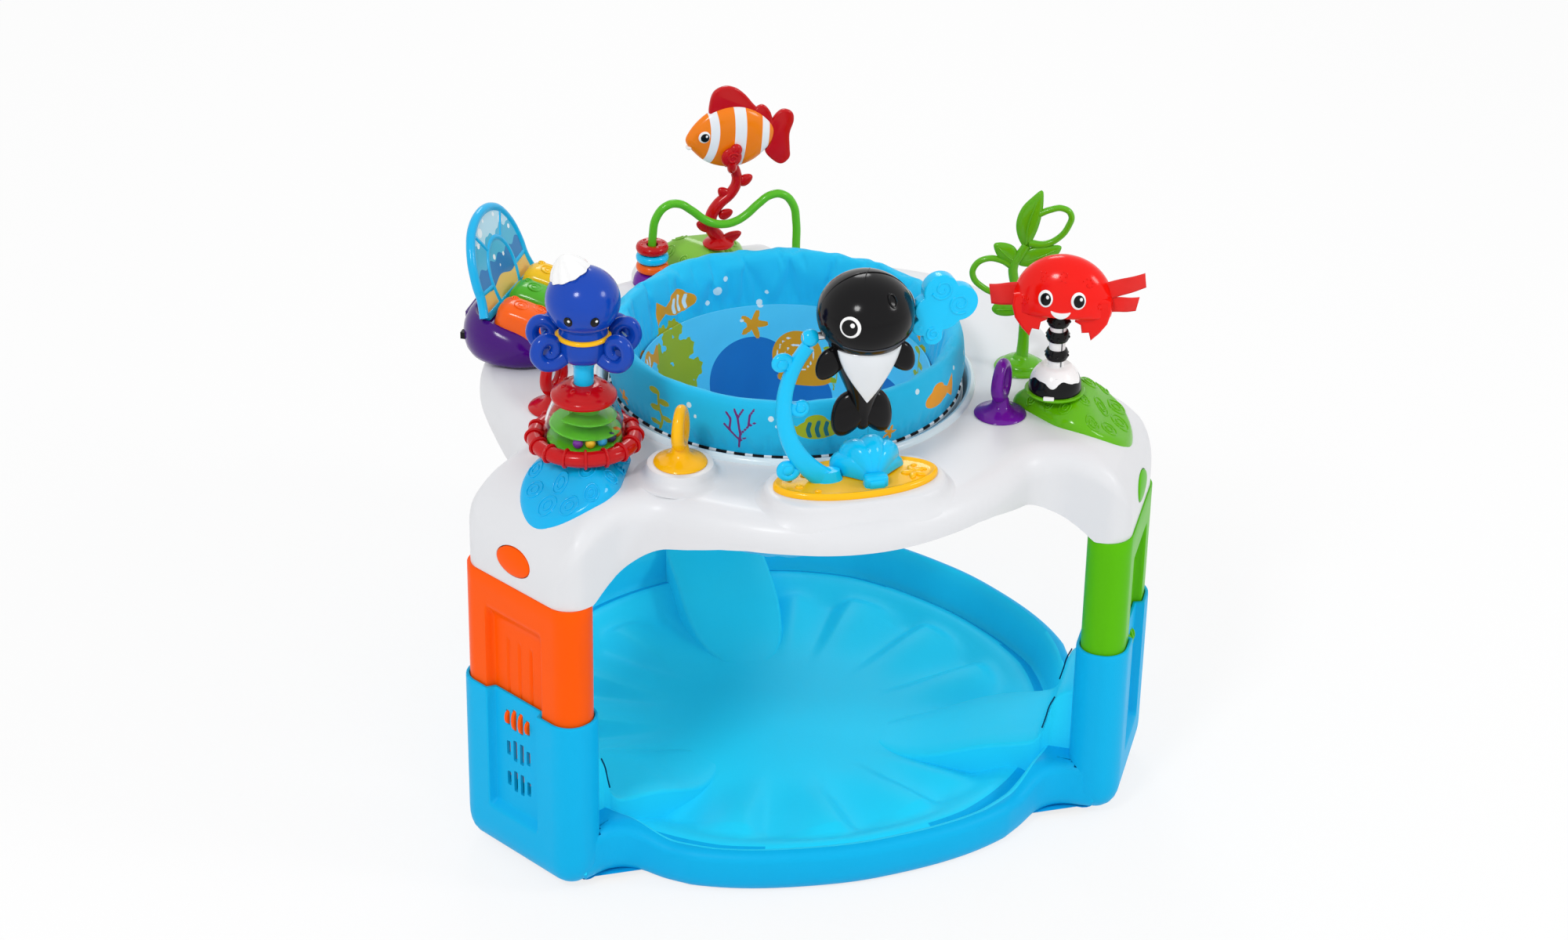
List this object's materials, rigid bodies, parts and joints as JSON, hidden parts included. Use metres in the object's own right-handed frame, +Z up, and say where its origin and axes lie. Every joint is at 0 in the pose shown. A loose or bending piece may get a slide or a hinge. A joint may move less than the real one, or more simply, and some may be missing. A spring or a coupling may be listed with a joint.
{
  "type": "activity jumper",
  "caption": "Round baby activity jumper: a dish base with height-adjustable legs carries a toy tray around a turning, sprung fabric seat.",
  "frame": {"origin": "on the floor under the seat's centre", "axes": "+Z up, -Y towards the front, where the whale toy is"},
  "size_m": [0.7406, 0.7144, 0.682],
  "materials": {
    "aqua_plastic": "satin moulded plastic",
    "white_plastic": "satin moulded plastic",
    "orange_plastic": "satin moulded plastic",
    "green_plastic": "satin moulded plastic",
    "purple_plastic": "gloss moulded plastic",
    "blue_plastic": "gloss moulded plastic",
    "red_plastic": "gloss moulded plastic",
    "yellow_plastic": "gloss moulded plastic",
    "black_plastic": "gloss moulded plastic",
    "clear_plastic": "clear moulded plastic",
    "seat_fabric": "printed woven fabric",
    "ribbon_fabric": "woven ribbon",
    "steel": "drawn steel",
    "board": "resin board"
  },
  "bodies": {
    "base": {"base": "aqua_plastic"},
    "tray": {"leg_left": "orange_plastic", "leg_right": "green_plastic", "leg_back": "purple_plastic", "tray": "white_plastic", "pad_left": "aqua_plastic", "pad_right": "green_plastic", "pad_back": "green_plastic", "bounce_springs": "steel", "loop_yellow": "yellow_plastic", "loop_purple": "purple_plastic", "loop_red": "red_plastic", "drum_base": "red_plastic", "drum_dome": "clear_plastic", "drum_cap": "red_plastic", "whale_plate": "yellow_plastic", "whale_scallop": "aqua_plastic", "whale_arm": "aqua_plastic", "whale_axle": "steel", "whale_splash": "aqua_plastic", "crab_foot": "black_plastic", "seaweed": "green_plastic", "bead_base": "purple_plastic", "bead_wire": "green_plastic", "fish_stalk": "red_plastic", "fish_pin": "steel", "piano_body": "purple_plastic", "picture_fan": "aqua_plastic", "battery_door": "purple_plastic", "batteries": "steel", "circuit_board": "board", "speaker": "black_plastic"},
    "latch_left": {"latch_left": "orange_plastic"},
    "latch_right": {"latch_right": "green_plastic"},
    "latch_back": {"latch_back": "purple_plastic"},
    "lock_button_left": {"lock_button_left": "orange_plastic"},
    "lock_button_right": {"lock_button_right": "green_plastic"},
    "lock_button_back": {"lock_button_back": "purple_plastic"},
    "seat_carrier": {"seat_carrier": "white_plastic"},
    "seat": {"seat_ring": "white_plastic", "seat_collar": "seat_fabric", "seat_sling": "seat_fabric"},
    "octopus": {"plunger": "aqua_plastic", "octopus_body": "blue_plastic"},
    "popper_spiral": {"drum_spiral": "green_plastic", "drum_beads": "yellow_plastic"},
    "whale": {"whale_body": "black_plastic", "whale_belly": "white_plastic"},
    "crab": {"crab_post": "white_plastic", "crab_body": "red_plastic", "crab_ribbons": "ribbon_fabric"},
    "fish": {"fish_body": "orange_plastic", "fish_fins": "red_plastic"},
    "bead_ring_orange": {"bead_ring_orange": "orange_plastic"},
    "bead_ring_blue": {"bead_ring_blue": "aqua_plastic"},
    "bead_ring_red": {"bead_ring_red": "red_plastic"},
    "key_orange": {"key_orange": "orange_plastic"},
    "key_green": {"key_green": "green_plastic"},
    "key_yellow": {"key_yellow": "yellow_plastic"},
    "volume_switch": {"volume_switch": "yellow_plastic"}
  },
  "joints": [
    {"name": "height_adjust", "type": "slide", "parent": "base", "child": "tray", "axis": [0, 0, 1], "range_m": [-0.074, 0], "deforming": ["latch_left", "latch_right", "latch_back"]},
    {"name": "latch_left_press", "type": "slide", "parent": "tray", "child": "latch_left", "axis": [-0.866, -0.5, 0], "range_m": [-0.01, 0], "stiffness_N_per_m": 400, "springref_m": 0.003},
    {"name": "latch_right_press", "type": "slide", "parent": "tray", "child": "latch_right", "axis": [0.866, -0.5, 0], "range_m": [-0.01, 0], "stiffness_N_per_m": 400, "springref_m": 0.003},
    {"name": "latch_back_press", "type": "slide", "parent": "tray", "child": "latch_back", "axis": [0, 1, 0], "range_m": [-0.01, 0], "stiffness_N_per_m": 400, "springref_m": 0.003},
    {"name": "lock_left_press", "type": "slide", "parent": "tray", "child": "lock_button_left", "axis": [-0.866, -0.5, 0], "range_m": [-0.005, 0], "stiffness_N_per_m": 600, "springref_m": 0.002},
    {"name": "lock_right_press", "type": "slide", "parent": "tray", "child": "lock_button_right", "axis": [0.866, -0.5, 0], "range_m": [-0.005, 0], "stiffness_N_per_m": 600, "springref_m": 0.002},
    {"name": "lock_back_press", "type": "slide", "parent": "tray", "child": "lock_button_back", "axis": [0, 1, 0], "range_m": [-0.005, 0], "stiffness_N_per_m": 600, "springref_m": 0.002},
    {"name": "seat_bounce", "type": "slide", "parent": "tray", "child": "seat_carrier", "axis": [0, 0, 1], "range_m": [-0.018, 0], "stiffness_N_per_m": 6000, "springref_m": 0.006, "deforming": ["bounce_springs"]},
    {"name": "seat_turn", "type": "hinge", "parent": "seat_carrier", "child": "seat", "pos_m": [0, 0, 0.43], "axis": [0, 0, 1], "continuous": true},
    {"name": "octopus_press", "type": "slide", "parent": "tray", "child": "octopus", "axis": [0, 0, 1], "range_m": [-0.014, 0], "stiffness_N_per_m": 300, "springref_m": 0.02},
    {"name": "spiral_spin", "type": "hinge", "parent": "tray", "child": "popper_spiral", "pos_m": [-0.24682, -0.1425, 0.48], "axis": [0, 0, 1], "range_deg": [-1, 185]},
    {"name": "whale_spin", "type": "hinge", "parent": "tray", "child": "whale", "pos_m": [0.005, -0.258, 0.612], "axis": [1, 0, 0], "continuous": true},
    {"name": "crab_wobble", "type": "hinge", "parent": "tray", "child": "crab", "pos_m": [0.24682, -0.1425, 0.473], "axis": [-0.1736, -0.9848, 0], "range_deg": [-12, 12], "stiffness_Nm_per_rad": 1.5},
    {"name": "fish_rock", "type": "hinge", "parent": "tray", "child": "fish", "pos_m": [0.01, 0.28, 0.572], "axis": [0, 1, 0], "range_deg": [-12, 12], "stiffness_Nm_per_rad": 0.2},
    {"name": "bead_orange_slide", "type": "slide", "parent": "tray", "child": "bead_ring_orange", "axis": [0, 0, 1], "range_m": [0, 0.005]},
    {"name": "bead_blue_slide", "type": "slide", "parent": "bead_ring_orange", "child": "bead_ring_blue", "axis": [0, 0, 1], "range_m": [0, 0.005]},
    {"name": "bead_red_slide", "type": "slide", "parent": "bead_ring_blue", "child": "bead_ring_red", "axis": [0, 0, 1], "range_m": [0, 0.005]},
    {"name": "key_orange_press", "type": "slide", "parent": "tray", "child": "key_orange", "axis": [0, 0, 1], "range_m": [-0.003, 0], "stiffness_N_per_m": 500, "springref_m": 0.005},
    {"name": "key_green_press", "type": "slide", "parent": "tray", "child": "key_green", "axis": [0, 0, 1], "range_m": [-0.003, 0], "stiffness_N_per_m": 500, "springref_m": 0.005},
    {"name": "key_yellow_press", "type": "slide", "parent": "tray", "child": "key_yellow", "axis": [0, 0, 1], "range_m": [-0.003, 0], "stiffness_N_per_m": 500, "springref_m": 0.005},
    {"name": "volume_slide", "type": "slide", "parent": "tray", "child": "volume_switch", "axis": [-0.5, -0.866, 0], "range_m": [-0.007, 0.007]}
  ],
  "couplings": [
    {"joint": "spiral_spin", "follows": "octopus_press", "rad_per_m": -224}
  ]
}
